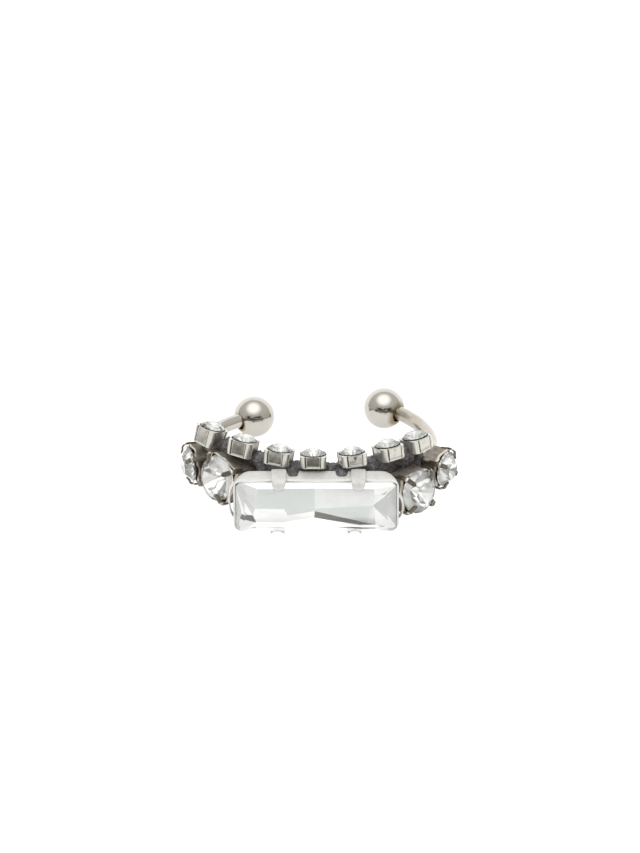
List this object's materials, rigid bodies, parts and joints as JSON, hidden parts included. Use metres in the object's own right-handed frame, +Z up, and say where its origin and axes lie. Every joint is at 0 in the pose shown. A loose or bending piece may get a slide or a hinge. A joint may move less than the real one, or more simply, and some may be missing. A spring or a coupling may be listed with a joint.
{
  "type": "adjustable ring",
  "caption": "Open adjustable finger ring of round wire with ball ends, set with a rectangular crystal, round side crystals and a row of small cups.",
  "frame": {"origin": "middle of the ring's footprint, on the surface that it lies on", "axes": "+Z up along the finger's axis, -Y out through the centre stone, +X to the right of the centre stone as seen from the front"},
  "size_m": [0.0264, 0.0262, 0.0075],
  "materials": {
    "bright_silver": "bright silver-tone plate over brass, softly worn",
    "aged_silver": "silver-tone plate with dark patina in the recesses",
    "dark_silver": "oxidised antique silver-tone plate, near black in the recesses",
    "crystal": "clear cut crystal with a mirror foil on its back"
  },
  "bodies": {
    "root": {"shank": "bright_silver", "centre_setting": "bright_silver", "centre_stone": "crystal", "side_setting_left_outer": "dark_silver", "side_stone_left_outer": "crystal", "side_setting_left_inner": "dark_silver", "side_stone_left_inner": "crystal", "side_setting_right_inner": "dark_silver", "side_stone_right_inner": "crystal", "side_setting_right_outer": "dark_silver", "side_stone_right_outer": "crystal", "cup_1": "aged_silver", "cup_2": "aged_silver", "cup_3": "aged_silver", "cup_4": "aged_silver", "cup_5": "aged_silver", "cup_6": "aged_silver", "cup_7": "aged_silver"}
  },
  "joints": []
}
